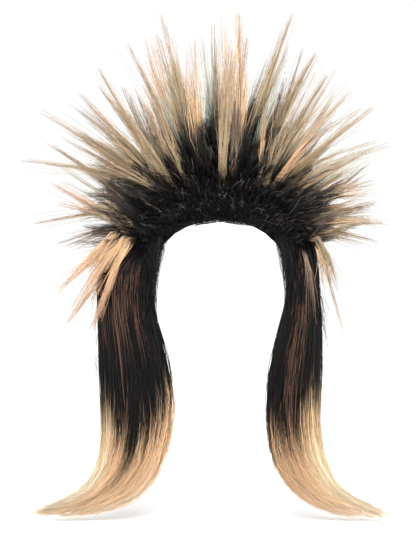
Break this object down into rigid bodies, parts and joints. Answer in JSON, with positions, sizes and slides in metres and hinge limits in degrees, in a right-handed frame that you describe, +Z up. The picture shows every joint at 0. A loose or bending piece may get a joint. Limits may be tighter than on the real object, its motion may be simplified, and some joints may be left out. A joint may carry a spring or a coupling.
{
  "type": "cosplay wig",
  "caption": "Spiky two-tone costume wig: teased dark crown with a fan of pale-tipped spikes and two long side locks that curl outwards.",
  "frame": {"origin": "inside of the cap at the crown, where the top of the wearer's head sits", "axes": "+Z up, the face looks along -Y, +X towards the wearer's left"},
  "size_m": [0.3997, 0.285, 0.5494],
  "materials": {
    "dark_hair": "satin",
    "streaked_hair": "satin",
    "long_hair": "satin",
    "cap_net": "matte",
    "band": "matte"
  },
  "bodies": {
    "root": {"cap": "cap_net", "front_band": "band", "front_fan": "streaked_hair", "crown_fan": "streaked_hair", "back_fan": "streaked_hair", "nape_hair": "dark_hair", "forehead_hair": "dark_hair", "right_ear_spikes": "streaked_hair", "left_ear_spikes": "streaked_hair", "right_side_lock": "long_hair", "left_side_lock": "long_hair"}
  },
  "joints": []
}
